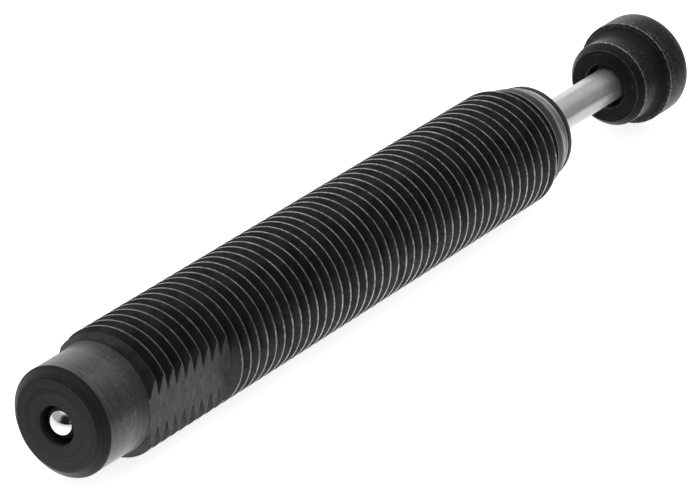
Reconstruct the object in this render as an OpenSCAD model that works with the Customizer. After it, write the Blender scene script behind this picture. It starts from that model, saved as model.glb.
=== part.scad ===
// Miniature industrial shock absorber with a threaded body, shown with its rod extended.
// The axis is X: x = 0 is the rear end face and the button points to +X. Millimetres.

/* [Body] */
// Length from the rear face to the end of the rolled nose
body_len = 86.5; // [82:0.5:100]
// Major diameter of the mounting thread
thread_d = 13.9; // [13.5:0.1:14.5]
// Pitch of the mounting thread, which sets the depth and width of its relief groove
thread_pitch = 1.5; // [1:0.25:1.5]
// Diameter of the smooth spigot behind the thread
spigot_d = 12; // [11.8:0.1:12.4]
// Length of the smooth spigot
spigot_len = 7.3; // [5:0.1:10]
// Chamfer on the rear edge of the spigot
spigot_chamfer = 1; // [0.4:0.1:1.4]
// Distance across the two wrench flats
flat_af = 11.5; // [11.2:0.1:12.5]
// Length of each wrench flat
flat_len = 12.8; // [8:0.2:20]
// Radius that the cutter leaves where a wrench flat runs out
flat_runout_r = 1.2; // [0.8:0.1:1.6]
// Diameter of the turned collar ahead of the thread
collar_d = 12.7; // [12.2:0.1:13.2]
// Length of the collar and nose
collar_len = 3.25; // [2.8:0.05:5]
// Diameter of the collar where the rolled nose starts
nose_root_d = 12.04; // [11.8:0.02:12.1]
// Diameter of the nose at its front edge
nose_d = 11; // [10.6:0.1:11.4]
// Length of the rolled nose
nose_len = 1.6; // [1.2:0.1:2]
// Bore of the body
bore_d = 9.8; // [9.5:0.1:10]
// Thickness of the closed rear wall
rear_wall = 7.2; // [6:0.1:9]

/* [Fill port] */
// Diameter of the ball that closes the fill port
ball_d = 4.16; // [3.6:0.02:4.6]
// How far the ball stands out of the rear face
ball_proud = 0.1; // [0:0.05:0.4]
// Diameter of the oil passage behind the ball
passage_d = 1.8; // [1:0.1:2.4]

/* [Pressure tube] */
// Bore of the pressure tube
tube_bore_d = 7; // [6.9:0.1:7.3]
// Wall of the pressure tube
tube_wall = 0.8; // [0.6:0.05:1]
// Number of metering orifices
orifice_count = 8; // [4:1:10]
// Diameter of each metering orifice
orifice_d = 0.6; // [0.4:0.05:0.8]
// Thickness of the tube base's flange
base_flange = 1.5; // [1:0.1:3]
// Length of the tube base's spigot
base_spigot = 2.5; // [1.5:0.1:4]
// Width of the oil notches in the tube base and the rod guide
notch_w = 1.2; // [0.8:0.1:1.6]

/* [Rod and piston] */
// Diameter of the piston rod
rod_d = 4; // [3.8:0.1:4.2]
// Working stroke
stroke = 16; // [8:0.5:18]
// Diameter of the rod's stud that carries the piston
stud_d = 2.5; // [2.2:0.1:2.6]
// Length of the piston
piston_len = 5; // [4.4:0.1:7]
// Width of the piston ring
ring_w = 1.2; // [0.8:0.1:2]
// Radial thickness of the piston ring
ring_t = 0.6; // [0.5:0.05:0.65]
// Number of oil holes through the piston
piston_holes = 6; // [4:1:8]
// Diameter of each oil hole through the piston
piston_hole_d = 0.7; // [0.5:0.05:0.8]
// Thickness of the check plate
plate_t = 0.4; // [0.2:0.05:0.8]
// Free travel of the check plate
plate_float = 0.5; // [0.3:0.05:0.8]
// Thickness of the spring seat's flange
seat_flange = 1; // [0.6:0.1:2]
// Thickness of the piston nut
nut_t = 1.8; // [1.4:0.1:2.5]
// Width across the flats of the piston nut
nut_af = 4; // [3.8:0.1:4.2]

/* [Return spring] */
// Wire diameter of the return spring
wire_d = 0.6; // [0.4:0.05:0.65]
// Mean diameter of the return spring's coils
spring_d = 5.7; // [5.5:0.05:5.8]

/* [Guide and seals] */
// Length of the rod guide
guide_len = 19; // [17:0.5:23]
// Length of the guide's spigot in the tube
guide_spigot = 3; // [2:0.1:5]
// Thickness of the guide's rear flange
guide_flange = 2; // [1:0.1:3]
// Length of the guide's front land, which carries its O-ring
guide_land = 3.5; // [2.6:0.1:5]
// Diameter of the guide's waist inside the accumulator foam
waist_d = 6; // [5.6:0.1:6.6]
// Wall of the two guide liners
liner_t = 0.35; // [0.25:0.05:0.5]
// Section diameter of the static O-rings
oring_d = 1; // [0.8:0.05:1.1]
// Length of the seal carrier
carrier_len = 5.5; // [5:0.1:8]
// Diameter of the seal carrier's pocket
pocket_d = 6.8; // [6.4:0.1:7]
// Depth of the seal carrier's pocket
pocket_depth = 4; // [3.6:0.1:4.4]
// Thickness of the back-up ring
backup_t = 0.9; // [0.6:0.1:1.1]
// Length of the spacer sleeve
spacer_len = 5; // [3:0.5:8]
// Bore of the spacer sleeve
spacer_bore_d = 7.2; // [6.6:0.1:8]

/* [Front stop] */
// Length of the front stop behind the rolled neck of the body
stop_len = 9.1; // [8:0.1:11]
// Length of the body's rolled neck, which grips the front stop
neck_len = 1.9; // [1.4:0.1:2.4]
// How far the rolled neck closes in on the front stop
neck_step = 0.35; // [0.2:0.05:0.5]
// Thickness of the flange that the button strikes
stop_flange = 0.95; // [0.6:0.05:2]
// Diameter of the flange at its rear edge
stop_d = 11.26; // [11:0.02:11.6]
// Diameter of the flange at its front edge
stop_face_d = 10.9; // [10.4:0.1:11]
// Length of the front liner
front_liner_len = 5; // [3:0.5:6]
// Length of the wiper
wiper_len = 2.4; // [2:0.1:3]
// Outer diameter of the wiper
wiper_d = 6.4; // [6:0.1:7]

/* [Button] */
// Length of the button
button_len = 8.6; // [7.5:0.1:12]
// Diameter of the button's head
head_d = 12.2; // [11.8:0.1:13.8]
// Diameter of the button's hub
hub_d = 10.04; // [9.6:0.02:10.6]
// Length of the hub, from its rear face to the head
hub_len = 4.6; // [3.4:0.1:6]
// Length of the chamfer on the hub's rear edge
hub_chamfer_len = 0.85; // [0.3:0.05:1.2]
// Depth of the chamfer on the hub's rear edge
hub_chamfer = 0.67; // [0.3:0.01:1]
// Radius of the fillet between hub and head
hub_fillet = 1.9; // [1.2:0.1:2.2]
// Width of the flat ring on the back of the head
head_ring = 0.35; // [0.2:0.05:0.6]
// Rounding of the head's front edge
head_round = 0.6; // [0.2:0.1:1.2]
// Diameter of the recess around the rod in the hub
recess_d = 5.32; // [4.8:0.02:6]
// Depth of the recess around the rod
recess_depth = 2.15; // [1:0.05:3]
// Depth of the rod's seat beyond the recess
rod_seat = 3.7; // [2.6:0.1:4]
// Wire diameter of the snap ring that holds the button
clip_wire = 0.6; // [0.4:0.05:0.7]

/* [Fits] */
// Radial clearance of the pieces that don't move on each other
fit = 0.02; // [0.01:0.005:0.03]
// Radial clearance of the running fits
running = 0.04; // [0.02:0.01:0.06]
// Gap left at each end stop
stop_gap = 0.05; // [0.02:0.01:0.1]

/* [Hidden] */
$fn = 72;

// how far a cutter reaches past the face that it opens
cut = 0.1;
// small chamfers and reliefs
edge = 0.15;
// clearance round the soft foam
soft_gap = 0.1;

// body
bore_r = bore_d / 2;
inner_r = bore_r - fit;
shoulder_x = spigot_len;
shoulder_len = (thread_d - spigot_d) / 2;
collar_x = body_len - collar_len;
nose_x = body_len - nose_len;
neck_x = body_len - neck_len;
neck_r = bore_r - neck_step;

// thread: metric profile, with crests of an eighth of the pitch and flanks at 60 degrees
thread_r = thread_d / 2;
thread_depth = 0.6134 * thread_pitch;
crest_w = thread_pitch / 8;
flank_w = thread_depth * tan(30);
relief_w = 0.77 * thread_pitch;
relief_r = thread_r - 2 / 3 * thread_pitch;
thread_x0 = shoulder_x + shoulder_len;
thread_x1 = collar_x - relief_w;
turns = floor((thread_x1 - edge - crest_w - thread_x0) / thread_pitch);

// fill port: the ball rests on a conical seat at 45 degrees
port_r = ball_d / 2 + fit;
ball_x = ball_d / 2 - ball_proud;
port_seat_x = ball_x + (sqrt(2) - 1) * port_r;

// the stack inside the bore, from the nose to the rear
stop_face_x = body_len + stop_flange;
stop_x = neck_x - stop_len;
spacer_x = stop_x - spacer_len;
carrier_x = spacer_x - carrier_len;
guide_x = carrier_x - guide_len;
guide_seat_x = guide_x + guide_spigot;
waist_x = guide_seat_x + guide_flange;
land_x = carrier_x - guide_land;

// static seals: their groove lies under the body's bore
oring_floor_r = bore_r - oring_d - 2 * fit;
oring_slot = oring_d + 2 * edge;
guide_oring_x = (land_x + carrier_x) / 2;
carrier_oring_x = carrier_x + pocket_depth - oring_slot / 2;
stop_oring_x = stop_x + 2 * oring_slot;

// pressure tube, as long as the stack leaves it
tube_r = tube_bore_d / 2;
tube_out_r = tube_r + tube_wall;
base_x = rear_wall;
tube_x = base_x + base_flange;
base_x1 = tube_x + base_spigot;
notch_count = 4;
notch_depth = 0.6;

// rod and piston, with the piston against the rod guide
rod_r = rod_d / 2;
rod_bore_r = rod_r + running;
liner_seat_r = rod_bore_r + liner_t + fit;
liner_inset = 2;
stud_r = stud_d / 2;
stud_tip = 0.4;
piston_r = tube_r - running;
piston_x1 = guide_x - stop_gap;
piston_x0 = piston_x1 - piston_len;
ring_r = tube_r - running / 2;
ring_x0 = piston_x0 + (piston_len - ring_w) / 2;
ring_floor_r = ring_r - ring_t - running;
seat_hub_r = stud_r + 0.4;
seat_r = tube_r - 0.3;
seat_x1 = piston_x0 - plate_t - plate_float;
seat_x0 = seat_x1 - seat_flange;
seat_slots = 3;
plate_bore_r = seat_hub_r + running;
hole_pcr = (plate_bore_r + ring_floor_r) / 2;
nut_x0 = seat_x0 - nut_t;
stud_x0 = nut_x0 - stud_tip;

// return spring, between the tube base and the spring seat; its wire fills the given share of
// its length when the rod is in
coil_fill = 0.72;
spring_x0 = base_x1 + fit;
spring_x1 = seat_x0 - fit;
coils = floor(coil_fill * (spring_x1 - spring_x0 - stroke) / wire_d);

// button
button_x = stop_face_x + stroke + stop_gap;
button_x1 = button_x + button_len;
head_x = button_x + hub_len;
hub_r = hub_d / 2;
head_r = head_d / 2;
fillet_r = hub_r + hub_fillet;
fillet_end_r = head_r - head_ring;
fillet_x = head_x - sqrt(pow(hub_fillet, 2) - pow(fillet_r - fillet_end_r, 2));
fillet_end = asin((head_x - fillet_x) / hub_fillet);
rod_floor_x = button_x + recess_depth + rod_seat;
rod_x1 = rod_floor_x - stop_gap;
clip_x = button_x + recess_depth + rod_seat / 2;
clip_r = rod_r + clip_wire / 8;

// solid of revolution about the X axis from points [radius, x]
module turned(points) {
    rotate([0, 90, 0]) rotate_extrude() polygon(points);
}

// plain sleeve from x0 to x1
module sleeve(x0, x1, r_out, r_in) {
    turned([[r_in, x0], [r_out, x0], [r_out, x1], [r_in, x1]]);
}

// straight shaft or bore from x0 to x1
module shaft(x0, x1, r) {
    translate([x0, 0, 0]) rotate([0, 90, 0]) cylinder(r = r, h = x1 - x0);
}

// ring of round section about the X axis
module torus(x, mean_r, wire) {
    rotate([0, 90, 0]) rotate_extrude() translate([mean_r, x]) circle(d = wire, $fn = 24);
}

// static O-ring in its groove
module oring(x) {
    torus(x, oring_floor_r + fit + oring_d / 2, oring_d);
}

// cutter for the groove of a static O-ring
module oring_groove(x) {
    sleeve(x - oring_slot / 2, x + oring_slot / 2, bore_r + cut, oring_floor_r);
}

// cutter for the oil notches that cross a flange at its rim, from radius r outward
module notches(x0, x1, r, count) {
    for (i = [0:count - 1]) rotate([i * 360 / count, 0, 0])
        translate([x0, -notch_w / 2, r]) cube([x1 - x0, notch_w, bore_d]);
}

// points of an arc in the [radius, x] plane; angle 0 points outward and 90 to +X
function arc(centre_r, centre_x, radius, a0, a1, steps = 6) =
    [for (i = [0:steps]) let (a = a0 + (a1 - a0) * i / steps)
        [centre_r + radius * cos(a), centre_x + radius * sin(a)]];

// cutter for the wrench flat on the +Y side, with the cutter's radius at its front end
module flat_cutter() {
    flat_y = flat_af / 2;
    flat_x1 = shoulder_x + flat_len;
    translate([shoulder_x, flat_y, -thread_r]) cube([flat_len, thread_d, thread_d]);
    translate([flat_x1, flat_y + flat_runout_r, -thread_r]) {
        cylinder(r = flat_runout_r, h = thread_d);
        cube([flat_runout_r, thread_d, thread_d]);
    }
}

// outline of the thread's crests and grooves, which are rings here and have no lead
function thread_rings() =
    [for (k = [0:turns - 1]) let (x = thread_x0 + k * thread_pitch, root_r = thread_r - thread_depth)
        each [[thread_r, x], [thread_r, x + crest_w], [root_r, x + crest_w + flank_w],
            [root_r, x + thread_pitch - flank_w]]];

module body_housing() {
    color("#26262a") difference() {
        turned([[0, 0], [spigot_d / 2 - spigot_chamfer, 0], [spigot_d / 2, spigot_chamfer],
            [spigot_d / 2, shoulder_x], each thread_rings(),
            [thread_r, thread_x0 + turns * thread_pitch], [thread_r, thread_x1 - edge],
            [thread_r - edge, thread_x1], [relief_r, thread_x1],
            [relief_r, collar_x], [collar_d / 2, collar_x], [nose_root_d / 2, nose_x],
            [nose_d / 2, body_len - edge], [nose_d / 2 - edge, body_len], [0, body_len]]);
        turned([[0, rear_wall], [bore_r, rear_wall], [bore_r, neck_x - neck_step], [neck_r, neck_x],
            [neck_r, body_len + cut], [0, body_len + cut]]);
        turned([[0, -cut], [port_r, -cut], [port_r, port_seat_x],
            [passage_d / 2, port_seat_x + port_r - passage_d / 2], [passage_d / 2, rear_wall + cut],
            [0, rear_wall + cut]]);
        for (side = [0, 180]) rotate([side, 0, 0]) flat_cutter();
    }
}

module fill_ball() {
    color("#d8d8da") translate([ball_x, 0, 0]) sphere(d = ball_d);
}

// closes the pressure tube; the cross slot in its rear face lets oil from the port past its rim
module tube_base() {
    plug_r = tube_r - fit;
    color("#8d8f93") difference() {
        turned([[0, base_x], [inner_r, base_x], [inner_r, tube_x], [plug_r, tube_x],
            [plug_r, base_x1 - edge], [plug_r - edge, base_x1], [0, base_x1]]);
        notches(base_x - cut, tube_x + cut, tube_out_r - edge, notch_count);
        notches(base_x - cut, base_x + base_flange / 2, 0, 2);
    }
}

// where the piston's rear edge covers orifice k, spaced for an even braking force
function orifice_x(k) = piston_x0 - stroke * (1 - pow(1 - k / orifice_count, 2));

module pressure_tube() {
    orifice_turn = 135;
    color("#a9abaf") difference() {
        sleeve(tube_x, guide_seat_x, tube_out_r, tube_r);
        for (k = [0:orifice_count - 1]) translate([orifice_x(k), 0, 0]) rotate([k * orifice_turn, 0, 0])
            cylinder(d = orifice_d, h = tube_out_r + cut);
        for (i = [0:notch_count - 1]) rotate([i * 360 / notch_count, 0, 0])
            translate([guide_x + guide_spigot / 2, 0, 0]) cylinder(d = notch_w, h = tube_out_r + cut);
    }
}

module rod_guide() {
    spigot_r = tube_r - fit;
    bush_x = guide_x + liner_inset;
    color("#b08a4e") difference() {
        turned([[rod_bore_r + edge, guide_x], [spigot_r, guide_x], [spigot_r, guide_seat_x],
            [inner_r, guide_seat_x], [inner_r, waist_x], [waist_d / 2, waist_x], [waist_d / 2, land_x],
            [inner_r, land_x], [inner_r, carrier_x], [liner_seat_r, carrier_x], [liner_seat_r, bush_x],
            [rod_bore_r + edge, bush_x]]);
        oring_groove(guide_oring_x);
        intersection() {
            notches(guide_x - cut, guide_seat_x - edge, tube_r - notch_depth, notch_count);
            shaft(guide_x - cut, guide_seat_x, tube_r + cut);
        }
        notches(guide_seat_x - cut, waist_x + cut, tube_out_r - edge, notch_count);
    }
}

module guide_liner() {
    color("#3f6b4a")
        sleeve(guide_x + liner_inset + fit, carrier_x - fit, rod_bore_r + liner_t, rod_bore_r);
}

module accumulator_foam() {
    color("#4a4a48")
        sleeve(waist_x + soft_gap, land_x - soft_gap, inner_r - soft_gap, waist_d / 2 + soft_gap);
}

module guide_oring() {
    color("#1b1b1b") oring(guide_oring_x);
}

module seal_carrier() {
    pocket_x1 = carrier_x + pocket_depth;
    color("#8d8f93") difference() {
        turned([[pocket_d / 2, carrier_x], [inner_r, carrier_x], [inner_r, spacer_x],
            [rod_bore_r + edge, spacer_x], [rod_bore_r + edge, pocket_x1], [pocket_d / 2, pocket_x1]]);
        oring_groove(carrier_oring_x);
    }
}

// U-cup whose two lips open towards the oil
module rod_seal() {
    lip_x = carrier_x + 2 * edge;
    heel_x = carrier_x + pocket_depth - backup_t - 2 * fit;
    lip_len = (heel_x - lip_x) / 2;
    in_r = rod_r + fit;
    out_r = pocket_d / 2 - fit;
    mid_r = (in_r + out_r) / 2;
    color("#2f5d8c") turned([[in_r + edge, lip_x], [mid_r - 2 * edge, lip_x],
        [mid_r - edge, lip_x + lip_len], [mid_r + edge, lip_x + lip_len], [mid_r + 2 * edge, lip_x],
        [out_r - edge, lip_x], [out_r, lip_x + edge], [out_r, heel_x], [in_r + edge, heel_x],
        [in_r + edge, lip_x + lip_len], [in_r, lip_x + edge]]);
}

module seal_backup() {
    backup_x1 = carrier_x + pocket_depth - fit;
    color("#e8e6df") sleeve(backup_x1 - backup_t, backup_x1, pocket_d / 2 - fit, rod_r + fit);
}

module carrier_oring() {
    color("#1b1b1b") oring(carrier_oring_x);
}

module spacer_sleeve() {
    color("#8d8f93") sleeve(spacer_x, stop_x, inner_r, spacer_bore_d / 2);
}

// guides the rod at the front, holds the wiper and takes the button's blow at full stroke
module front_stop() {
    grip_r = neck_r - fit;
    rim_r = stop_d / 2;
    face_r = stop_face_d / 2;
    wiper_r = wiper_d / 2 + fit;
    wiper_x = stop_face_x - wiper_len - edge;
    bush_x = stop_x + front_liner_len;
    color("#232326") difference() {
        turned([[liner_seat_r, stop_x], [inner_r, stop_x], [inner_r, neck_x - neck_step - 2 * fit],
            [grip_r, neck_x - 2 * fit], [grip_r, body_len], [rim_r - edge, body_len],
            [rim_r, body_len + edge], [face_r, stop_face_x - edge], [face_r - edge, stop_face_x],
            [wiper_r + edge, stop_face_x], [wiper_r, stop_face_x - edge], [wiper_r, wiper_x],
            [rod_bore_r + edge, wiper_x], [rod_bore_r + edge, bush_x], [liner_seat_r, bush_x]]);
        oring_groove(stop_oring_x);
    }
}

module front_liner() {
    color("#3f6b4a")
        sleeve(stop_x + fit, stop_x + front_liner_len - fit, rod_bore_r + liner_t, rod_bore_r);
}

module stop_oring() {
    color("#1b1b1b") oring(stop_oring_x);
}

// scraper whose lip runs on the rod at the very front
module wiper() {
    wiper_x1 = stop_face_x - edge;
    wiper_x0 = wiper_x1 - wiper_len + fit;
    lip_len = wiper_len / 3;
    lip_t = 2 * edge;
    color("#202022") turned([[rod_r + lip_t, wiper_x0], [wiper_d / 2, wiper_x0],
        [wiper_d / 2, wiper_x1 - lip_t], [wiper_d / 2 - edge, wiper_x1 - lip_t],
        [rod_r + 2 * lip_t, wiper_x1 - lip_t], [rod_r + lip_t, wiper_x1], [rod_r + fit, wiper_x1],
        [rod_r + fit, wiper_x1 - lip_len], [rod_r + lip_t, wiper_x1 - lip_len - lip_t]]);
}

// place of the spring's wire along the axis after t turns; the first and last coils are closed
function coil_x(t) =
    let (x0 = spring_x0 + wire_d / 2, x1 = spring_x1 - wire_d / 2, lead = 1.05 * wire_d)
    t < 1 ? x0 + lead * t
    : t > coils - 1 ? x1 - lead * (coils - t)
    : x0 + lead + (x1 - x0 - 2 * lead) * (t - 1) / (coils - 2);

module return_spring() {
    steps = 18;
    sides = 8;
    wire_r = wire_d / 2;
    rings = coils * steps;
    points = [for (i = [0:rings]) let (turn = i / steps)
        for (k = [0:sides - 1]) let (a = 360 * k / sides, r = spring_d / 2 + wire_r * cos(a))
            [coil_x(turn) + wire_r * sin(a), r * cos(360 * turn), r * sin(360 * turn)]];
    walls = [for (i = [0:rings - 1], k = [0:sides - 1]) let (n = (k + 1) % sides, a = i * sides)
        [a + k, a + n, a + sides + n, a + sides + k]];
    first_end = [for (k = [0:sides - 1]) sides - 1 - k];
    last_end = [for (k = [0:sides - 1]) rings * sides + k];
    color("#c9cacc") polyhedron(points, concat(walls, [first_end, last_end]));
}

// split ring that seals the piston in the tube
module piston_ring() {
    color("#6f7377") difference() {
        sleeve(ring_x0, ring_x0 + ring_w, ring_r, ring_r - ring_t);
        translate([ring_x0 - cut, -edge, 0]) cube([ring_w + 2 * cut, 2 * edge, tube_bore_d]);
    }
}

module piston_rod() {
    tip = 2 * edge;
    color("#c6c7ca") difference() {
        turned([[0, stud_x0], [stud_r - tip, stud_x0], [stud_r, stud_x0 + tip], [stud_r, piston_x1],
            [rod_r, piston_x1], [rod_r, rod_x1 - tip], [rod_r - tip, rod_x1], [0, rod_x1]]);
        sleeve(clip_x - clip_wire / 2 - fit, clip_x + clip_wire / 2 + fit, rod_r + cut,
            clip_r - clip_wire / 2 - fit);
    }
}

module piston() {
    groove_x0 = ring_x0 - running;
    groove_x1 = ring_x0 + ring_w + running;
    color("#b08a4e") difference() {
        turned([[stud_r + fit, piston_x0], [piston_r - edge, piston_x0], [piston_r, piston_x0 + edge],
            [piston_r, groove_x0], [ring_floor_r, groove_x0], [ring_floor_r, groove_x1],
            [piston_r, groove_x1], [piston_r, piston_x1 - edge], [piston_r - edge, piston_x1],
            [stud_r + fit, piston_x1]]);
        for (i = [0:piston_holes - 1]) rotate([i * 360 / piston_holes, 0, 0])
            translate([0, 0, hole_pcr]) shaft(piston_x0 - cut, piston_x1 + cut, piston_hole_d / 2);
    }
}

// its hub sets the check plate's travel and its flange carries the return spring
module spring_seat() {
    slot_depth = spring_d / 2 - wire_d / 2 - seat_hub_r - edge;
    color("#8d8f93") difference() {
        turned([[stud_r + fit, seat_x0], [seat_r, seat_x0], [seat_r, seat_x1], [seat_hub_r, seat_x1],
            [seat_hub_r, piston_x0], [stud_r + fit, piston_x0]]);
        for (i = [0:seat_slots - 1]) rotate([i * 360 / seat_slots, 0, 0])
            translate([seat_x0 - cut, -notch_w / 2, seat_hub_r + edge])
                cube([seat_flange + 2 * cut, notch_w, slot_depth]);
    }
}

module piston_nut() {
    color("#8d8f93") difference() {
        translate([nut_x0, 0, 0]) rotate([0, 90, 0]) cylinder(d = nut_af / cos(30), h = nut_t, $fn = 6);
        shaft(nut_x0 - cut, seat_x0 + cut, stud_r + fit);
    }
}

// floating plate that covers the piston's oil holes while the rod is pushed in
module check_plate() {
    color("#c9cacc") sleeve(piston_x0 - plate_t, piston_x0, seat_r - edge, plate_bore_r);
}

module button() {
    color("#2b2825") difference() {
        turned([[0, button_x], [hub_r - hub_chamfer, button_x], [hub_r, button_x + hub_chamfer_len],
            each arc(fillet_r, fillet_x, hub_fillet, 180, 180 - fillet_end), [head_r, head_x],
            each arc(head_r - head_round, button_x1 - head_round, head_round, 0, 90),
            [0, button_x1]]);
        shaft(button_x - cut, button_x + recess_depth, recess_d / 2);
        shaft(button_x, rod_floor_x, rod_r + fit);
        sleeve(clip_x - clip_wire / 2 - fit, clip_x + clip_wire / 2 + fit,
            clip_r + clip_wire / 2 + fit, rod_r);
    }
}

// wire ring that snaps into the rod and the button
module button_clip() {
    color("#9a9b9e") difference() {
        torus(clip_x, clip_r, clip_wire);
        translate([clip_x - clip_wire, -edge, 0]) cube([2 * clip_wire, 2 * edge, rod_d]);
    }
}

body_housing();
fill_ball();
tube_base();
pressure_tube();
rod_guide();
guide_liner();
accumulator_foam();
guide_oring();
seal_carrier();
rod_seal();
seal_backup();
carrier_oring();
spacer_sleeve();
front_stop();
front_liner();
stop_oring();
wiper();
return_spring();
piston_ring();
piston_rod();
piston();
spring_seat();
piston_nut();
check_plate();
button();
button_clip();
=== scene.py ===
"""Looks of a miniature industrial shock absorber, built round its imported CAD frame.

The axis is X, from the rear face at x = 0 to the button. Shapes are written in millimetres,
as (x, radius) outlines turned about that axis, and become metres when their mesh is made.
"""
import math

import bmesh
import bpy
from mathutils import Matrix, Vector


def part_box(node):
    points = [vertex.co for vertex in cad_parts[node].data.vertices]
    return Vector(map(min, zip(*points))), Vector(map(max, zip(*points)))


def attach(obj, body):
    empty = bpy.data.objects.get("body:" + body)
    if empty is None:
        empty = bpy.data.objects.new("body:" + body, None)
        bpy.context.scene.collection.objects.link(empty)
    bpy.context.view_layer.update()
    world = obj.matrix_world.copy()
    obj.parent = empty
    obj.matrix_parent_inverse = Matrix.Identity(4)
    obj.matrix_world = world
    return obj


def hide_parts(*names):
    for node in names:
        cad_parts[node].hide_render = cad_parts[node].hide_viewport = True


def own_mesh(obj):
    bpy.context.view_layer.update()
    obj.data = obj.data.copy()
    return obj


MM = 0.001

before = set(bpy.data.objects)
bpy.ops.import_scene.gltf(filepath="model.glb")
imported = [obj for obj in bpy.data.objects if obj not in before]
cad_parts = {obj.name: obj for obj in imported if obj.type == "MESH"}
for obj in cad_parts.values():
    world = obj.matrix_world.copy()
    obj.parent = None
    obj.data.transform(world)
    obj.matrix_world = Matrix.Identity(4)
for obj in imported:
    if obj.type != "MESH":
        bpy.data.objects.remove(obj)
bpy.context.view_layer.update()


def span(node):
    """Where a CAD node starts and ends along X, and its largest radius, in millimetres."""
    low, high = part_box(node)
    return low.x / MM, high.x / MM, high.z / MM


# ---------------------------------------------------------------- sizes, in millimetres

_, BODY_END, THREAD_R = span("body_housing")
_, STOP_FACE, STOP_R = span("front_stop")
BUTTON_REAR, BUTTON_FRONT, HEAD_R = span("button")
ROD_REAR, ROD_FRONT, ROD_R = span("piston_rod")
BALL_LOW, BALL_HIGH, BALL_R = span("fill_ball")
PISTON_FRONT = span("piston")[1]

# rear spigot and wrench flats
SPIGOT_R = 6.0
SPIGOT_LEN = 7.3
SPIGOT_CHAMFER = 1.0
FLAT_Y = 5.75
FLAT_LEN = 12.8
FLAT_RUNOUT_R = 1.2

# thread: its crest passes x = 18.686 at 135.3 degrees from +Y toward +Z, and CREST_X on the +Y side
PITCH = 1.5
CREST_W = 0.20
ROOT_R = 6.03
CREST_X = 18.686 - PITCH * 135.3 / 360

# collar at the front, behind it a relief groove
COLLAR_R = 6.36
COLLAR_X = BODY_END - 3.25
RELIEF_R = 5.95
RELIEF_X = COLLAR_X - 1.155

# the thread is cut from inside the rear shoulder until inside the relief groove
CUT_START = 6.6
CUT_END = RELIEF_X + 0.5

# inside of the body: the bore, and the channel from the fill port to it
BORE_R = 4.9
BORE_REAR = 7.2
CHANNEL_R = 0.9

# button: a chamfered hub with a recess, then the head
HUB_R = 5.02
HUB_CHAMFER_R = HUB_R - 0.67
HUB_CHAMFER_X = BUTTON_REAR + 0.85
RECESS_R = 2.66
HEAD_X = BUTTON_REAR + 4.6

# snap ring that holds the button: its middle, and half the width of its two grooves
CLIP_X = BUTTON_REAR + 4.0
CLIP_HALF = 0.32


# ---------------------------------------------------------------- meshes

# sides of each turned shape
SEGMENTS = 144
# corners closer than this after a cut are joined
SLIVER = 0.001
# how far the thread's tool reaches past each end of the thread, clear of the body
TOOL_END = 12


def rounded(outline, segments=4):
    """The outline with its corners rounded; a point is (x, r) or (x, r, rounding)."""
    points = []
    for i, point in enumerate(outline):
        corner = point[:2]
        if len(point) == 2:
            points.append(corner)
            continue
        before, after = outline[i - 1], outline[(i + 1) % len(outline)]
        back = (before[0] - corner[0], before[1] - corner[1])
        ahead = (after[0] - corner[0], after[1] - corner[1])
        back_len, ahead_len = math.hypot(*back), math.hypot(*ahead)
        back = (back[0] / back_len, back[1] / back_len)
        ahead = (ahead[0] / ahead_len, ahead[1] / ahead_len)
        half = math.acos(max(-1, min(1, back[0] * ahead[0] + back[1] * ahead[1]))) / 2
        # the roundings at both ends of a side have to fit on it
        reach = min(point[2] / math.tan(half), 0.49 * back_len, 0.49 * ahead_len)
        radius = reach * math.tan(half)
        middle = (back[0] + ahead[0], back[1] + ahead[1])
        away = radius / math.sin(half) / math.hypot(*middle)
        centre = (corner[0] + middle[0] * away, corner[1] + middle[1] * away)
        start, end = (math.atan2(corner[1] + side[1] * reach - centre[1],
                                 corner[0] + side[0] * reach - centre[0]) for side in (back, ahead))
        turn = (end - start + math.pi) % (2 * math.pi) - math.pi
        for k in range(segments + 1):
            angle = start + turn * k / segments
            points.append((centre[0] + radius * math.cos(angle), centre[1] + radius * math.sin(angle)))
    return points


def mesh_object(name, vertices, faces):
    """A new object whose vertices are given in millimetres."""
    mesh = bpy.data.meshes.new(name)
    mesh.from_pydata([(x * MM, y * MM, z * MM) for x, y, z in vertices], [], faces)
    mesh.validate()
    piece = bpy.data.objects.new(name, mesh)
    bpy.context.scene.collection.objects.link(piece)
    return piece


def smooth(piece, angle=28):
    """Smooth shading that keeps edges sharper than the angle, with all normals outward."""
    work = bmesh.new()
    work.from_mesh(piece.data)
    bmesh.ops.recalc_face_normals(work, faces=work.faces)
    work.to_mesh(piece.data)
    work.free()
    piece.data.shade_smooth()
    piece.data.set_sharp_from_angle(angle=math.radians(angle))
    return piece


def on_circle(x, r, k):
    """Point k of the circle of radius r at x."""
    angle = 2 * math.pi * k / SEGMENTS
    return (x, r * math.cos(angle), r * math.sin(angle))


def add_face(faces, *corners):
    """Adds the face between these corners, unless it has shrunk to a line."""
    corners = list(dict.fromkeys(corners))
    if len(corners) > 2:
        faces.append(corners)


def turned(name, outline):
    """A closed solid of revolution about X from a closed (x, r) outline; r = 0 makes a pole."""
    vertices, rings = [], []
    for x, r in rounded(outline):
        if r < 1e-6:
            rings.append([len(vertices)] * SEGMENTS)
            vertices.append((x, 0, 0))
        else:
            rings.append(list(range(len(vertices), len(vertices) + SEGMENTS)))
            vertices += [on_circle(x, r, k) for k in range(SEGMENTS)]
    faces = []
    for ring, following in zip(rings, rings[1:] + rings[:1]):
        for k in range(SEGMENTS):
            n = (k + 1) % SEGMENTS
            add_face(faces, ring[k], ring[n], following[n], following[k])
    return smooth(mesh_object(name, vertices, faces))


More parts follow.
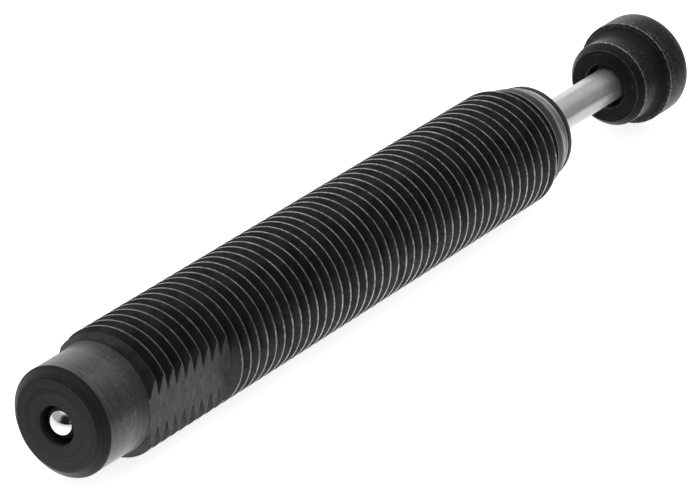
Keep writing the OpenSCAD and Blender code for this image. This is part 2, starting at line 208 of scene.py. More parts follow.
def thread_outline():
    """One pitch of the thread as (offset, radius), from the crest's rear edge."""
    half = CREST_W / 2
    flank = (THREAD_R - ROOT_R) * math.tan(math.radians(30))
    root = half + flank
    root_w = PITCH - CREST_W - 2 * flank
    # the crest is a little domed, and the root a little rounded at its sides
    edge, land, dip = 0.035, 0.010, 0.03
    return [(-half, THREAD_R - edge), (-half + 0.4 * edge, THREAD_R - land), (0, THREAD_R),
            (half - 0.4 * edge, THREAD_R - land), (half, THREAD_R - edge),
            (root, ROOT_R + dip), (root + root_w / 4, ROOT_R),
            (root + 3 * root_w / 4, ROOT_R), (root + root_w, ROOT_R + dip)]


def thread_solid(name, x0, x1):
    """The thread's tool: a rod with the thread between x0 and x1, wider than the body elsewhere."""
    outline = thread_outline()
    clear_r = THREAD_R + 1
    first = math.floor((x0 - CREST_X) / PITCH) - 2
    turns = math.ceil((x1 - CREST_X) / PITCH) + 2 - first
    rows = turns * len(outline)
    vertices, columns = [], []
    for k in range(SEGMENTS):
        low = len(vertices)
        vertices += [on_circle(x, r, k) for x, r in [(x0 - TOOL_END, clear_r), (x0, clear_r), (x0, ROOT_R)]]
        column = []
        for row in range(rows):
            offset, r = outline[row % len(outline)]
            x = CREST_X + PITCH * (first + row // len(outline) + k / SEGMENTS) + offset
            if x <= x0 + 0.01:
                column.append(low + 2)
            elif x >= x1 - 0.01:
                column.append(None)
            else:
                column.append(len(vertices))
                vertices.append(on_circle(x, r, k))
        high = len(vertices)
        vertices += [on_circle(x, r, k) for x, r in [(x1, ROOT_R), (x1, clear_r), (x1 + TOOL_END, clear_r)]]
        column = [high if v is None else v for v in column]
        columns.append([low, low + 1, low + 2] + column + [high, high + 1, high + 2])
    faces = [[column[0] for column in columns], [column[-1] for column in reversed(columns)]]
    for k, column in enumerate(columns):
        if k + 1 < SEGMENTS:
            beside = columns[k + 1]
        else:
            # the last column meets the first one a pitch further on
            shift = len(outline)
            body = columns[0][3:-3]
            beside = columns[0][:3] + body[shift:] + [columns[0][-3]] * shift + columns[0][-3:]
        for row in range(len(column) - 1):
            add_face(faces, column[row], beside[row], beside[row + 1], column[row + 1])
    return mesh_object(name, vertices, faces)


def flat_cutter(name, side):
    """The cutter of one wrench flat: straight, with a quarter-round end; side is +1 or -1 along Y."""
    steps = 16
    reach = THREAD_R + 2
    end = SPIGOT_LEN + FLAT_LEN
    outline = [(SPIGOT_LEN, reach), (SPIGOT_LEN, FLAT_Y)]
    for k in range(steps + 1):
        angle = math.pi / 2 * k / steps
        outline.append((end + FLAT_RUNOUT_R * math.sin(angle),
                        FLAT_Y + FLAT_RUNOUT_R * (1 - math.cos(angle))))
    outline.append((end + FLAT_RUNOUT_R, reach))
    count = len(outline)
    vertices = [(x, side * y, z) for z in (-reach, reach) for x, y in outline]
    faces = [list(range(count)), list(range(2 * count - 1, count - 1, -1))]
    for k in range(count):
        n = (k + 1) % count
        faces.append([k, k + count, n + count, n])
    return smooth(mesh_object(name, vertices, faces))


def combine(piece, other, operation):
    """piece becomes its difference from, or intersection with, other, which goes away."""
    change = piece.modifiers.new("change", "BOOLEAN")
    change.operation = operation
    change.solver = "EXACT"
    change.object = other
    bpy.context.view_layer.update()
    graph = bpy.context.evaluated_depsgraph_get()
    made = bpy.data.meshes.new_from_object(piece.evaluated_get(graph))
    piece.modifiers.clear()
    piece.data = made
    bpy.data.objects.remove(other)
    work = bmesh.new()
    work.from_mesh(made)
    bmesh.ops.remove_doubles(work, verts=work.verts, dist=SLIVER * MM)
    bmesh.ops.dissolve_degenerate(work, edges=work.edges, dist=SLIVER * MM)
    work.to_mesh(made)
    work.free()


def sharpen_flats(piece):
    """Keeps the rims of the wrench flats sharp, also where the groove meets them at a low angle."""
    work = bmesh.new()
    work.from_mesh(piece.data)
    for edge in work.edges:
        if len(edge.link_faces) != 2:
            continue
        one, other = (face.normal for face in edge.link_faces)
        if max(abs(one.y), abs(other.y)) > 0.9999 and one.angle(other) > math.radians(10):
            edge.smooth = False
    work.to_mesh(piece.data)
    work.free()


# ---------------------------------------------------------------- pieces


def rolled_nose():
    """The collar's outline in front of its rear edge: an arc that steepens toward the nose."""
    start, end, steps = math.radians(5), math.radians(29), 10
    radius = (BODY_END - 0.1 - COLLAR_X) / (math.sin(end) - math.sin(start))
    points = []
    for k in range(1, steps + 1):
        tilt = start + (end - start) * k / steps
        points.append((COLLAR_X + radius * (math.sin(tilt) - math.sin(start)),
                       COLLAR_R - radius * (math.cos(start) - math.cos(tilt))))
    return points


def make_body():
    """Threaded body: turned outline and bore, cut by the thread and by the two wrench flats."""
    # the fill port narrows in a cone, just ahead of the middle of its ball
    port_r = BALL_R + 0.02
    ball_x = (BALL_LOW + BALL_HIGH) / 2
    seat_x = ball_x + 0.42 * port_r
    # outside the thread's crests, so that the thread's tool makes the surface there
    clear_r = THREAD_R + 0.3
    shoulder_len = clear_r - SPIGOT_R
    # the mouth is narrower than the bore behind it, which begins with a short cone
    mouth_r, lip_r = BORE_R - 0.35, 5.3
    mouth_rear, bore_front = BODY_END - 1.9, BODY_END - 2.25
    outline = [
        (0, port_r, 0.08), (0, SPIGOT_R - SPIGOT_CHAMFER, 0.35),
        (SPIGOT_CHAMFER, SPIGOT_R, 0.10), (SPIGOT_LEN, SPIGOT_R, 0.6),
        (SPIGOT_LEN + shoulder_len, clear_r), (RELIEF_X, clear_r),
        (RELIEF_X, RELIEF_R, 0.12), (COLLAR_X, RELIEF_R, 0.12),
        (COLLAR_X, COLLAR_R, 0.05), *rolled_nose(), (BODY_END, lip_r, 0.05),
        (BODY_END, mouth_r), (mouth_rear, mouth_r), (bore_front, BORE_R),
        (BORE_REAR, BORE_R), (BORE_REAR, CHANNEL_R),
        (seat_x + port_r - CHANNEL_R, CHANNEL_R), (seat_x, port_r),
    ]
    body = turned("body_threaded", outline)
    combine(body, thread_solid("thread", CUT_START, CUT_END), "INTERSECT")
    for side in (-1, 1):
        combine(body, flat_cutter("flat", side), "DIFFERENCE")
    smooth(body, 25)
    sharpen_flats(body)
    return body


def make_front_stop():
    """Front stop: a barrel in the body's bore, and a flange ahead of the rolled nose."""
    # inside: the pocket of the liner, the rod's hole and the pocket of the wiper
    rod_hole_r, liner_r, wiper_r, wiper_mouth_r = 2.19, 2.41, 3.22, 3.37
    stop_rear, liner_front, wiper_rear = 75.5, 80.5, 84.9
    # outside: the barrel with the groove of its O-ring, the neck in the body's mouth and the flange
    barrel_r, barrel_front = BORE_R - 0.02, 84.21
    neck_r, neck_rear = BORE_R - 0.37, 84.56
    rim_x, front_r, face_r = BODY_END + 0.17, 5.47, 5.36
    seal_rear, seal_front, seal_r = span("stop_oring")
    groove_rear, groove_front = seal_rear - 0.15, seal_front + 0.15
    groove_r = seal_r - (seal_front - seal_rear) - 0.02
    outline = [
        (stop_rear, liner_r), (stop_rear, barrel_r), (groove_rear, barrel_r), (groove_rear, groove_r),
        (groove_front, groove_r), (groove_front, barrel_r), (barrel_front, barrel_r), (neck_rear, neck_r),
        (BODY_END, neck_r), (BODY_END + 0.02, STOP_R - 0.12, 0.02), (rim_x, STOP_R, 0.06),
        (STOP_FACE - 0.05, front_r, 0.06), (STOP_FACE, face_r, 0.05),
        (STOP_FACE, wiper_mouth_r, 0.04), (STOP_FACE - 0.15, wiper_r), (wiper_rear, wiper_r),
        (wiper_rear, rod_hole_r), (liner_front, rod_hole_r), (liner_front, liner_r),
    ]
    return turned("front_stop_flange", outline)


def make_rod():
    """Rod with the thinner stud at its rear end and the groove of the snap ring."""
    stud_r, groove_r, chamfer = 1.25, 1.755, 0.3
    outline = [
        (ROD_REAR, 0), (ROD_REAR, stud_r - chamfer), (ROD_REAR + chamfer, stud_r), (PISTON_FRONT, stud_r),
        (PISTON_FRONT, ROD_R, 0.05), (CLIP_X - CLIP_HALF, ROD_R), (CLIP_X - CLIP_HALF, groove_r),
        (CLIP_X + CLIP_HALF, groove_r), (CLIP_X + CLIP_HALF, ROD_R), (ROD_FRONT - chamfer, ROD_R),
        (ROD_FRONT, ROD_R - chamfer), (ROD_FRONT, 0),
    ]
    return turned("rod_ground", outline)


def make_button():
    """Strike button: a recessed hub that widens in a fillet to the head."""
    seat_r, groove_r = ROD_R + 0.02, 2.395
    recess_x = BUTTON_REAR + 2.15
    floor_x = recess_x + 3.7
    fillet_r, steps = 1.9, 12
    centre_r = HUB_R + fillet_r
    drop = centre_r - (HEAD_R - 0.35)
    centre_x = HEAD_X - math.sqrt(fillet_r ** 2 - drop ** 2)
    sweep = math.asin((HEAD_X - centre_x) / fillet_r)
    curve = []
    for k in range(steps + 1):
        angle = sweep * k / steps
        curve.append((centre_x + fillet_r * math.sin(angle), centre_r - fillet_r * math.cos(angle)))
    outline = [
        (BUTTON_REAR, RECESS_R, 0.05), (BUTTON_REAR, HUB_CHAMFER_R, 0.05),
        (HUB_CHAMFER_X, HUB_R, 0.06), *curve, (HEAD_X, HEAD_R, 0.06),
        (BUTTON_FRONT, HEAD_R, 0.6), (BUTTON_FRONT, 0),
        (floor_x, 0), (floor_x, seat_r), (CLIP_X + CLIP_HALF, seat_r), (CLIP_X + CLIP_HALF, groove_r),
        (CLIP_X - CLIP_HALF, groove_r), (CLIP_X - CLIP_HALF, seat_r),
        (recess_x, seat_r), (recess_x, RECESS_R, 0.2),
    ]
    return turned("button_stepped", outline)


def make_ball():
    """Steel ball in the fill port."""
    centre = (BALL_LOW + BALL_HIGH) / 2
    radius = (BALL_HIGH - BALL_LOW) / 2
    steps = 64
    outline = []
    for k in range(steps + 1):
        angle = math.pi * k / steps
        outline.append((centre - radius * math.cos(angle), max(0, radius * math.sin(angle))))
    return turned("ball_polished", outline)


def make_spring():
    """Return spring as a round wire, closed at both ends."""
    x0, x1, outer = span("return_spring")
    wire_r = 0.3
    mean_r = outer - wire_r
    coils, steps, sides = 14, 36, 12
    rings = coils * steps
    # the first and the last coil almost touch the next one
    lead = 1.05 * 2 * wire_r
    low, high = x0 + wire_r, x1 - wire_r
    vertices = []
    for i in range(rings + 1):
        turn = i / steps
        if turn < 1:
            x = low + lead * turn
        elif turn > coils - 1:
            x = high - lead * (coils - turn)
        else:
            x = low + lead + (high - low - 2 * lead) * (turn - 1) / (coils - 2)
        angle = 2 * math.pi * turn
        for k in range(sides):
            a = 2 * math.pi * k / sides
            r = mean_r + wire_r * math.cos(a)
            vertices.append((x + wire_r * math.sin(a), r * math.cos(angle), r * math.sin(angle)))
    faces = [list(range(sides - 1, -1, -1)), [rings * sides + k for k in range(sides)]]
    for i in range(rings):
        for k in range(sides):
            n = (k + 1) % sides
            faces.append([i * sides + k, i * sides + n, (i + 1) * sides + n, (i + 1) * sides + k])
    return smooth(mesh_object("spring_coil", vertices, faces))


# ---------------------------------------------------------------- node trees


class Tree:
    """Short ways to add nodes to a node tree; every value may be a number, a colour or an output."""

    def __init__(self, tree):
        self.tree = tree
        tree.nodes.clear()

    def put(self, socket, value):
        """Sets a socket to a number or a colour, or links it."""
        if isinstance(value, bpy.types.NodeSocket):
            self.tree.links.new(value, socket)
        elif socket.type == "RGBA" and len(value) == 3:
            socket.default_value = (*value, 1)
        else:
            socket.default_value = value

    def add(self, kind, *values):
        """A new node with its first inputs filled in."""
        node = self.tree.nodes.new("ShaderNode" + kind)
        for socket, value in zip(node.inputs, values):
            self.put(socket, value)
        return node

    def math(self, operation, a, b=0.0):
        """A maths node's result; operations on a single number leave b alone."""
        node = self.add("Math", a, b)
        node.operation = operation
        return node.outputs[0]

    def vector_math(self, operation, a, b):
        """A vector maths node's outputs, Vector and Value."""
        node = self.add("VectorMath", a, b)
        node.operation = operation
        return node.outputs

    def both(self, a, b):
        """The product, which is 1 only where both shares are 1."""
        return self.math("MULTIPLY", a, b)

    def either(self, a, b):
        """The larger of the two."""
        return self.math("MAXIMUM", a, b)

    def without(self, share):
        """What a share leaves of 1."""
        return self.math("SUBTRACT", 1.0, share)

    def average(self, a, b):
        return self.both(self.math("ADD", a, b), 0.5)

    def distance(self, a, b):
        """The length of the diagonal between a and b."""
        return self.math("SQRT", self.math("ADD", self.both(a, a), self.both(b, b)))

    def step(self, value, low, high, start=0.0, end=1.0):
        """A smooth step from start to end while value goes from low to high."""
        node = self.add("MapRange", value, low, high, start, end)
        node.interpolation_type = "SMOOTHSTEP"
        return node.outputs[0]

    def band(self, value, low, high, soft):
        """1 while value is between low and high, with soft edges inside that stretch."""
        return self.both(self.step(value, low, low + soft), self.step(value, high - soft, high, 1.0, 0.0))

    def blend(self, share, a, b):
        """Number a where share is 0, and b where it is 1."""
        return self.math("ADD", self.both(self.without(share), a), self.both(share, b))


class Shader(Tree):
    """A material's Principled shader, in the row frame and in millimetres; r is the radius."""

    def __init__(self, name):
        self.material = bpy.data.materials.new(name)
        self.material.use_nodes = True
        super().__init__(self.material.node_tree)
        self.surface = self.add("BsdfPrincipled")
        self.add("OutputMaterial", self.surface.outputs[0])
        coordinates = self.add("TexCoord").outputs["Object"]
        self.place = self.vector_math("MULTIPLY", coordinates, (1 / MM,) * 3)["Vector"]
        self.x, self.y, self.z = self.add("SeparateXYZ", self.place).outputs
        self.r = self.math("MAXIMUM", self.distance(self.y, self.z), 0.01)

    def stretched(self, x, y, z):
        """The place with each direction scaled, for marks that run along one of them."""
        return self.vector_math("MULTIPLY", self.place, (x, y, z))["Vector"]

    def round_place(self, across, along):
        """A place for noise that is drawn out round the axis, as the marks of turning are."""
        # x and r together, so that faces across the axis get rings as well
        row = self.both(self.math("ADD", self.x, self.both(self.r, 0.618)), across)
        y, z = (self.both(self.math("DIVIDE", side, self.r), along) for side in (self.y, self.z))
        return self.add("CombineXYZ", row, y, z).outputs[0]

    def noise(self, place, scale=1.0, detail=3.0, roughness=0.55):
        """Noise between 0 and 1, mostly near 0.5, with about scale spots a millimetre."""
        node = self.add("TexNoise", place)
        for socket, value in (("Scale", scale), ("Detail", detail), ("Roughness", roughness)):
            node.inputs[socket].default_value = value
        return node.outputs["Fac"]

    def spread(self, noise):
        """The noise with its middle values drawn apart, so that it reaches 0 and 1."""
        return self.step(noise, 0.32, 0.68)

    def mix(self, share, a, b):
        """Colour a where share is 0, and b where it is 1."""
        node = self.add("Mix", share)
        node.data_type = "RGBA"
        for socket, colour in zip([socket for socket in node.inputs if socket.type == "RGBA"], (a, b)):
            self.put(socket, colour)
        return next(socket for socket in node.outputs if socket.type == "RGBA")

    def ring(self, x, r, width):
        """1 on the circle of radius r at x, falling to 0 at width from it."""
        apart = self.distance(self.math("SUBTRACT", self.x, x), self.math("SUBTRACT", self.r, r))
        return self.step(apart, 0.0, width, 1.0, 0.0)

    def specks(self, scale, share, seed):
        """Small scattered spots, in about this share of a grid with scale cells a millimetre."""
        shifted = self.vector_math("ADD", self.place, (seed, 2 * seed, 3 * seed))["Vector"]
        cells = self.add("TexVoronoi", shifted)
        cells.inputs["Scale"].default_value = scale
        chosen = self.add("SeparateColor", cells.outputs["Color"]).outputs[0]
        picked = self.step(chosen, 1 - share, 1 - 0.9 * share)
        return self.both(picked, self.step(cells.outputs["Distance"], 0.15, 0.45, 1.0, 0.0))

    def finish(self, colour, roughness, height=None, depth=0.0, **others):
        """Fills the shader in; height is a 0-1 field and depth its size in millimetres.

        The others are named after their sockets, with _ for a space.
        """
        self.put(self.surface.inputs["Base Color"], colour)
        self.put(self.surface.inputs["Roughness"], roughness)
        if height is not None:
            bump = self.add("Bump")
            bump.inputs["Distance"].default_value = depth * MM
            self.put(bump.inputs["Height"], height)
            self.put(self.surface.inputs["Normal"], bump.outputs[0])
        for name, value in others.items():
            self.put(self.surface.inputs[name.replace("_", " ")], value)
        return self.material


# ---------------------------------------------------------------- materials


def black_oxide():
    """Black oxide on turned steel, burnished on crests and spigot, and nearly bare on the nose."""
    s = Shader("black_oxide")
    marks = s.noise(s.round_place(11.0, 2.2), detail=5.0, roughness=0.65)
    streaks = s.spread(s.noise(s.round_place(2.4, 0.8), detail=4.0))
    rings = s.spread(s.noise(s.round_place(4.5, 0.25), detail=4.0, roughness=0.7))
    cloud = s.spread(s.noise(s.place, 0.45, 5.0, 0.6))
    mottle = s.spread(s.noise(s.place, 2.6, 4.0, 0.7))
    grain = s.noise(s.place, 13.0, 3.0, 0.7)
    grinding = s.spread(s.noise(s.stretched(9.0, 9.0, 0.9), detail=4.0, roughness=0.65))
    smears = s.spread(s.noise(s.place, 1.3, 4.0, 0.7))
    scratches = s.spread(s.noise(s.stretched(1.2, 7.0, 7.0), detail=4.0, roughness=0.7))

    # where each part of the surface is
    face = s.step(s.x, 0.0, 0.1, 1.0, 0.0)
    chamfer_r = SPIGOT_R - SPIGOT_CHAMFER
    chamfer = s.both(s.step(s.x, SPIGOT_CHAMFER, SPIGOT_CHAMFER + 0.1, 1.0, 0.0),
                     s.step(s.r, chamfer_r - 0.1, chamfer_r + 0.15))
    rear_end = s.either(face, chamfer)
    spigot = s.both(s.band(s.x, SPIGOT_CHAMFER - 0.03, SPIGOT_LEN + 0.1, 0.05),
                    s.step(s.r, SPIGOT_R - 0.1, SPIGOT_R - 0.03))
    # the spigot's lighter finish fades to less than half towards the shoulder, so it is darker there
    spigot = s.both(spigot, s.step(s.math("ADD", s.x, streaks), 5.2, 7.2, 1.0, 0.45))
    flat = s.both(s.band(s.math("ABSOLUTE", s.y), FLAT_Y - 0.02, FLAT_Y + 0.02, 0.01),
                  s.band(s.x, SPIGOT_LEN, SPIGOT_LEN + FLAT_LEN + 0.4, 0.02))
    thread = s.band(s.x, SPIGOT_LEN + 0.1, COLLAR_X - 0.02, 0.3)
    crest = s.step(s.r, THREAD_R - 0.055, THREAD_R - 0.03)
    collar = s.band(s.x, COLLAR_X - 0.02, BODY_END + 0.06, 0.03)
    rim = s.ring(COLLAR_X + 0.02, COLLAR_R, 0.12)
    nose_start = s.math("ADD", s.x, s.both(streaks, 0.5))
    nose = s.both(collar, s.step(nose_start, COLLAR_X + 1.5, BODY_END - 0.5))
    nose = s.either(nose, s.both(rim, 0.7))
    lip = s.band(s.x, BODY_END + 0.1, STOP_FACE + 0.05, 0.05)

    # how far the surface is worn, and where it is nicked
    worn = s.either(spigot, s.either(s.both(collar, 0.36), s.both(lip, 0.12)))
    worn = s.both(worn, s.blend(smears, 0.85, 1.1))
    wear_marks = s.average(scratches, s.step(marks, 0.42, 0.62))
    bared = s.both(s.both(spigot, s.step(marks, 0.64, 0.70)), s.step(mottle, 0.45, 0.8))
    # the crests' colour: mottled, and darker towards the rear end, from x = 44 mm back to 12 mm
    crest_tone = s.both(s.average(smears, mottle), s.step(s.x, 12.0, 44.0, 0.35, 1.15))
    nicks = s.both(s.specks(7.0, 0.02, 3.0), s.either(crest, s.both(flat, 0.7)))
    nicks = s.either(nicks, s.both(s.specks(8.0, 0.003, 11.0), 0.35))

    stains = s.both(cloud, s.blend(mottle, 0.4, 1.2))
    thread_stains = s.both(cloud, s.blend(mottle, 0.5, 1.2))
    ground = s.both(grinding, s.blend(smears, 0.6, 1.3))
    colour = s.mix(stains, (0.0075, 0.0075, 0.0083), (0.020, 0.020, 0.0198))
    for share, detail, dark, light in (
            (rear_end, rings, (0.008, 0.008, 0.0088), (0.019, 0.019, 0.0202)),
            (thread, thread_stains, (0.028, 0.028, 0.0284), (0.056, 0.056, 0.0552)),
            (worn, wear_marks, (0.062, 0.0616, 0.061), (0.128, 0.1265, 0.124))):
        colour = s.mix(share, colour, s.mix(detail, dark, light))
    colour = s.mix(bared, colour, (0.24, 0.238, 0.233))
    for share, detail, dark, light in (
            (crest, crest_tone, (0.075, 0.075, 0.0745), (0.36, 0.358, 0.351)),
            (flat, ground, (0.032, 0.032, 0.031), (0.083, 0.082, 0.078)),
            (nose, streaks, (0.38, 0.377, 0.37), (0.80, 0.793, 0.782))):
        colour = s.mix(share, colour, s.mix(detail, dark, light))
    colour = s.mix(nicks, colour, (0.40, 0.39, 0.37))

    metal = s.either(s.either(worn, thread), s.either(nose, s.either(flat, nicks)))
    roughness = s.blend(spigot, s.blend(grain, 0.44, 0.58), s.blend(marks, 0.24, 0.38))
    roughness = s.blend(crest, roughness, s.blend(marks, 0.10, 0.20))
    roughness = s.blend(nose, roughness, s.blend(marks, 0.22, 0.36))
    roughness = s.blend(s.either(rear_end, lip), roughness, s.blend(rings, 0.58, 0.48))
    height = s.blend(flat, s.math("ADD", s.both(marks, 0.75), s.both(grain, 0.25)), grinding)
    return s.finish(colour, roughness, height, 0.006, IOR=1.3, Metallic=s.both(metal, 0.92))


def button_finish():
    """Hardened steel with a brown-black heat finish, mottled, scratched and bright at its edges; painted
    shade keeps its recess and fillet dark.
    """
    s = Shader("button_heat_finish")
    mottle = s.noise(s.place, 2.6, 6.0, 0.8)
    brown = s.spread(s.noise(s.place, 0.45, 2.0))
    speckle = s.noise(s.place, 7.0, 4.0, 0.8)
    marks = s.noise(s.round_place(9.0, 1.5), detail=4.0)
    scuffs = s.noise(s.stretched(1.4, 6.0, 6.0), detail=5.0, roughness=0.75)
    arcs = s.step(s.noise(s.round_place(12.0, 0.9), detail=5.0, roughness=0.7), 0.54, 0.68)
    arcs = s.both(arcs, s.both(s.step(brown, 0.25, 0.75), s.step(s.r, 2.7, 3.2)))

    # edges, the brightest first
    edges = s.ring(HUB_CHAMFER_X, HUB_R, 0.10)
    edges = s.either(edges, s.ring(HEAD_X, HEAD_R, 0.13))
    edges = s.either(edges, s.both(s.ring(BUTTON_REAR, RECESS_R, 0.09), 0.7))
    edges = s.either(edges, s.both(s.ring(BUTTON_REAR, HUB_CHAMFER_R, 0.09), 0.35))
    edges = s.both(edges, s.step(mottle, 0.40, 0.60, 0.2, 1.0))
    beside_edge = s.either(s.ring(HEAD_X, HEAD_R, 1.6), s.ring(HUB_CHAMFER_X, HUB_R, 1.2))
    front_edge = s.both(s.ring(BUTTON_FRONT - 0.35, HEAD_R - 0.05, 0.75), s.step(mottle, 0.35, 0.6, 0.3, 1.0))

    # where each part of the surface is; wear partly spares the head's middle, and painted shade keeps recess
    # and fillet dark, without wear or metal
    head = s.step(s.x, HEAD_X - 0.2, HEAD_X + 0.1)
    rear_face = s.step(s.x, BUTTON_REAR + 0.05, BUTTON_REAR + 0.2, 1.0, 0.0)
    # painted shade: the inside of the recess, round the rod
    recess = s.both(s.step(s.r, RECESS_R + 0.04, RECESS_R + 0.34, 1.0, 0.0),
                    s.step(s.x, BUTTON_REAR + 3.0, BUTTON_REAR + 4.0, 1.0, 0.0))
    # painted shade: the fillet between hub and head
    shaded_fillet = s.both(s.step(s.x, BUTTON_REAR + 2.4, BUTTON_REAR + 4.0),
                    s.step(s.x, HEAD_X - 0.15, HEAD_X, 1.0, 0.0))
    middle = s.band(s.x, HEAD_X + 0.6, HEAD_X + 3.4, 0.8)
    side = s.step(s.x, BUTTON_REAR + 0.55, HUB_CHAMFER_X, 0.12, 1.0)
    for spared, share in ((recess, 0.0), (shaded_fillet, 0.0), (middle, 0.45)):
        side = s.both(side, s.blend(spared, 1.0, share))

    wear = s.either(s.both(s.step(speckle, 0.60, 0.72), 0.7), s.step(scuffs, 0.57, 0.68))
    wear = s.both(wear, s.blend(beside_edge, s.blend(head, 0.3, 0.7), 1.0))
    patches = s.both(side, s.step(s.math("ADD", s.both(mottle, 0.8), s.both(marks, 0.2)), 0.42, 0.68))

    colour = s.mix(brown, (0.0042, 0.004, 0.004), (0.0095, 0.0078, 0.0065))
    for share, finish in (
            # painted shade: the recess walls get one flat dark grey instead of wear and patches
            (s.both(recess, s.without(rear_face)), (0.035, 0.034, 0.033)),
            (patches, s.mix(head, (0.060, 0.058, 0.056), (0.095, 0.093, 0.090))),
            (s.both(rear_face, s.both(arcs, 0.8)), (0.075, 0.073, 0.071)),
            (s.both(side, wear), s.mix(beside_edge, (0.24, 0.235, 0.229), (0.36, 0.353, 0.343))),
            (s.both(front_edge, 0.5), (0.26, 0.255, 0.248)),
            (edges, (0.40, 0.395, 0.385))):
        colour = s.mix(share, colour, finish)

    metal = s.step(s.math("ADD", s.either(mottle, s.both(wear, 0.7)), edges), 0.38, 0.66, 0.0, 0.95)
    metal = s.both(metal, s.either(side, s.either(edges, front_edge)))
    roughness = s.blend(mottle, 0.24, 0.44)
    roughness = s.blend(s.step(s.x, BUTTON_REAR + 0.02, BUTTON_REAR + 0.2), 0.6, roughness)
    roughness = s.blend(shaded_fillet, roughness, 0.5)
    height = s.math("ADD", s.both(speckle, 0.6), s.both(marks, 0.4))
    return s.finish(colour, roughness, height, 0.014, IOR=1.22, Metallic=metal)


def ground_rod():
    """Ground stainless rod: fine marks run round it, so its reflections are drawn out along it."""
    s = Shader("ground_rod")
    marks = s.noise(s.round_place(14.0, 1.6), detail=5.0, roughness=0.7)
    runs = s.noise(s.stretched(0.35, 9.0, 9.0), detail=3.0)
    cloud = s.spread(s.noise(s.place, 0.8, 3.0))
    colour = s.mix(cloud, (0.56, 0.555, 0.545), (0.62, 0.615, 0.605))
    colour = s.mix(s.step(runs, 0.5, 0.8, 0.0, 0.25), colour, (0.46, 0.455, 0.445))
    colour = s.mix(s.step(marks, 0.5, 0.75, 0.0, 0.3), colour, (0.40, 0.395, 0.39))
    around = s.add("Tangent")
    around.direction_type = "RADIAL"
    around.axis = "X"
    return s.finish(colour, s.blend(marks, 0.22, 0.34), marks, 0.002, Metallic=0.86, Anisotropic=0.85,
                    Anisotropic_Rotation=0.25, Tangent=around.outputs[0])


def polished_ball():
    """Polished bearing steel with a few faint handling marks."""
    s = Shader("polished_ball")
    cloud = s.noise(s.place, 1.8, 4.0)
    colour = s.mix(cloud, (0.66, 0.66, 0.65), (0.74, 0.735, 0.72))
    return s.finish(colour, s.blend(cloud, 0.03, 0.09), cloud, 0.001, Metallic=1.0)


def machined(name, dark, light, rough_low, rough_high):
    """Machined metal: turning marks, slight colour drift."""
    s = Shader(name)
    marks = s.noise(s.round_place(12.0, 1.5), detail=4.0, roughness=0.6)
    cloud = s.noise(s.place, 0.9, 3.0)
    return s.finish(s.mix(cloud, dark, light), s.blend(marks, rough_low, rough_high), marks, 0.003,
                    Metallic=1.0)


def moulded(name, dark, light, rough_low, rough_high, depth=0.003, grain_scale=7.0):
    """Moulded rubber, plastic or foam: fine grain, slight colour drift."""
    s = Shader(name)
    grain = s.noise(s.place, grain_scale, 4.0, 0.65)
    cloud = s.noise(s.place, 0.9, 3.0)
    return s.finish(s.mix(cloud, dark, light), s.blend(grain, rough_low, rough_high), grain, depth)


# ---------------------------------------------------------------- stage, in metres and degrees

# the photograph's point of view: a long lens, from above the rear end
LENS = 242.566
CAMERA_PLACE = (-0.325756, -0.235722, 0.233266)
CAMERA_TURN = (62.2209, -4.3074, -55.7297)

# soft lights of the room: azimuth, elevation, angle of the full part, angle of the edge, strength
PANELS = [
    (66, 12, 25, 50, 0.9),
    (130, 25, 25, 60, 0.12),
    (0, 90, 25, 60, 0.8),
]
# light from everywhere
AMBIENT = 0.42
# the dark side of the room, behind the camera, and how much light it takes away
DARK = (-162, 18, 15, 40, 0.95)

# round table, with its middle under the middle of the part
TABLE_X = 0.056
TABLE_R = 0.105
TABLE_SIDES = 96
WHITE = (1, 1, 1, 1)


def make_camera():
    """The camera, at the photograph's point of view."""
    data = bpy.data.cameras.new("camera")
    data.sensor_width = 36
    data.lens = LENS
    data.clip_start, data.clip_end = 0.01, 10
    camera = bpy.data.objects.new("camera", data)
    camera.location = CAMERA_PLACE
    camera.rotation_euler = [math.radians(angle) for angle in CAMERA_TURN]
    bpy.context.scene.collection.objects.link(camera)
    bpy.context.scene.camera = camera


def direction(azimuth, elevation):
    """The direction toward these angles, as a vector of length 1."""
    a, e = math.radians(azimuth), math.radians(elevation)
    return (math.cos(a) * math.cos(e), math.sin(a) * math.cos(e), math.sin(e))


def make_world():
    """White to the camera; soft lights, a dark side and a dim horizon to everything else."""
    world = bpy.data.worlds.new("studio")
    bpy.context.scene.world = world
    world.use_nodes = True
    t = Tree(world.node_tree)
    towards = t.add("TexCoord").outputs["Generated"]

    def lobe(azimuth, elevation, full, edge):
        """1 within full degrees of a direction, falling to 0 at edge degrees."""
        near = t.vector_math("DOT_PRODUCT", towards, direction(azimuth, elevation))["Value"]
        return t.step(near, math.cos(math.radians(edge)), math.cos(math.radians(full)))

    total = AMBIENT
    for *place, strength in PANELS:
        total = t.math("ADD", total, t.both(lobe(*place), strength))
    *place, depth = DARK
    total = t.both(total, t.without(t.both(lobe(*place), depth)))
    # the horizon is darkest toward the part's rear end, and isn't dimmed on the far side
    x, y, z = t.add("SeparateXYZ", towards).outputs
    horizon = t.step(t.math("ABSOLUTE", z), 0.0, 0.14, 1.0, 0.0)
    horizon = t.both(horizon, t.both(t.step(x, 0.2, -0.7, 0.35, 0.9), t.step(y, 0.1, 0.6, 1.0, 0.0)))
    total = t.both(total, t.without(horizon))
    camera_ray = t.add("LightPath").outputs["Is Camera Ray"]
    background = t.add("Background", WHITE, t.blend(camera_ray, total, 1.0))
    t.add("OutputWorld", background.outputs[0])


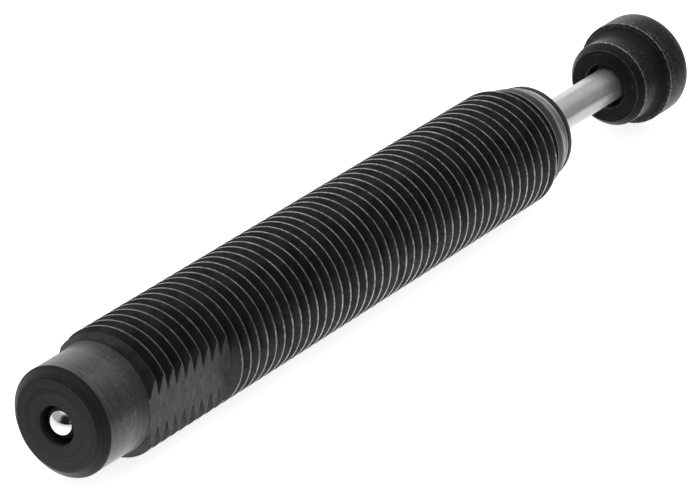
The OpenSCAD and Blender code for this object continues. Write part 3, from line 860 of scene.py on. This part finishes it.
def make_floor():
    """Pale round table under the part; white to the camera and to reflections, with a soft shadow."""
    rim = []
    for k in range(TABLE_SIDES):
        angle = 2 * math.pi * k / TABLE_SIDES
        rim.append((TABLE_X + TABLE_R * math.cos(angle), TABLE_R * math.sin(angle), -THREAD_R * MM))
    mesh = bpy.data.meshes.new("floor")
    mesh.from_pydata(rim, [], [tuple(range(TABLE_SIDES))])
    floor = bpy.data.objects.new("floor", mesh)
    bpy.context.scene.collection.objects.link(floor)
    material = bpy.data.materials.new("floor")
    material.use_nodes = True
    t = Tree(material.node_tree)
    place = t.add("TexCoord").outputs["Object"]
    x, y, _ = t.add("SeparateXYZ", place).outputs
    # reflections see it brightest close to the part, less so under the button
    brightest, fall_off = 1.6, 0.018
    past_end = t.either(t.math("SUBTRACT", t.math("ABSOLUTE", t.math("SUBTRACT", x, TABLE_X)), TABLE_X), 0.0)
    near = t.math("EXPONENT", t.math("DIVIDE", t.distance(past_end, y), -fall_off))
    near = t.both(t.both(near, brightest), t.step(x, 0.085, 0.100, 1.0, 0.6))
    lit_side = t.step(y, 0.004, 0.04, 0.0, 0.6)
    path = t.add("LightPath").outputs
    to_reflections = t.both(path["Is Glossy Ray"], t.either(near, lit_side))
    # with the light that falls on it, this makes it white to the camera
    to_camera = t.both(path["Is Camera Ray"], 0.80)
    glow = t.add("Emission", WHITE, t.math("ADD", to_camera, to_reflections))
    diffuse = t.add("BsdfDiffuse", (0.8, 0.8, 0.8))
    together = t.add("AddShader", diffuse.outputs[0], glow.outputs[0])
    t.add("OutputMaterial", together.outputs[0])
    mesh.materials.append(material)


# ---------------------------------------------------------------- assembly

bright = machined("bright_steel", (0.42, 0.42, 0.43), (0.50, 0.50, 0.50), 0.24, 0.38)
bronze = machined("bronze", (0.40, 0.25, 0.11), (0.50, 0.32, 0.15), 0.26, 0.42)
rubber = moulded("black_rubber", (0.010, 0.010, 0.010), (0.018, 0.018, 0.018), 0.45, 0.65)
liner = moulded("dry_liner", (0.05, 0.14, 0.07), (0.07, 0.18, 0.09), 0.45, 0.6)
foam = moulded("closed_foam", (0.05, 0.05, 0.045), (0.09, 0.09, 0.08), 0.8, 0.95, 0.03, 3.0)
polyurethane = moulded("polyurethane", (0.02, 0.10, 0.28), (0.04, 0.14, 0.36), 0.25, 0.4)
ptfe = moulded("ptfe", (0.76, 0.75, 0.71), (0.84, 0.83, 0.79), 0.35, 0.5)
oxide = black_oxide()

# (maker, CAD node that it stands for, body, slot, material)
DRESSED = [
    (make_body, "body_housing", "housing", "black_oxide_steel", oxide),
    (make_front_stop, "front_stop", "housing", "black_oxide_steel", oxide),
    (make_ball, "fill_ball", "housing", "ball_steel", polished_ball()),
    (make_rod, "piston_rod", "rod_assembly", "rod_steel", ground_rod()),
    (make_button, "button", "rod_assembly", "button_steel", button_finish()),
    (make_spring, "return_spring", "housing", "bright_steel", bright),
]
# CAD nodes that keep their own mesh
CARRIED = {
    bright: ["tube_base", "pressure_tube", "seal_carrier", "spacer_sleeve", "piston_ring", "spring_seat",
             "piston_nut", "check_plate", "button_clip"],
    bronze: ["rod_guide", "piston"],
    rubber: ["guide_oring", "carrier_oring", "stop_oring", "wiper"],
    liner: ["guide_liner", "front_liner"],
    foam: ["accumulator_foam"],
    polyurethane: ["rod_seal"],
    ptfe: ["seal_backup"],
}


def dress(mesh, material):
    """Gives a mesh this one material."""
    mesh.materials.clear()
    mesh.materials.append(material)


for maker, node, body, slot, material in DRESSED:
    piece = maker()
    dress(piece.data, material)
    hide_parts(node)
    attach(piece, body)
    if node == "return_spring":
        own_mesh(piece)

for material, nodes in CARRIED.items():
    for node in nodes:
        dress(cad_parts[node].data, material)

make_camera()
make_world()
make_floor()
bpy.context.scene.view_settings.view_transform = "Standard"
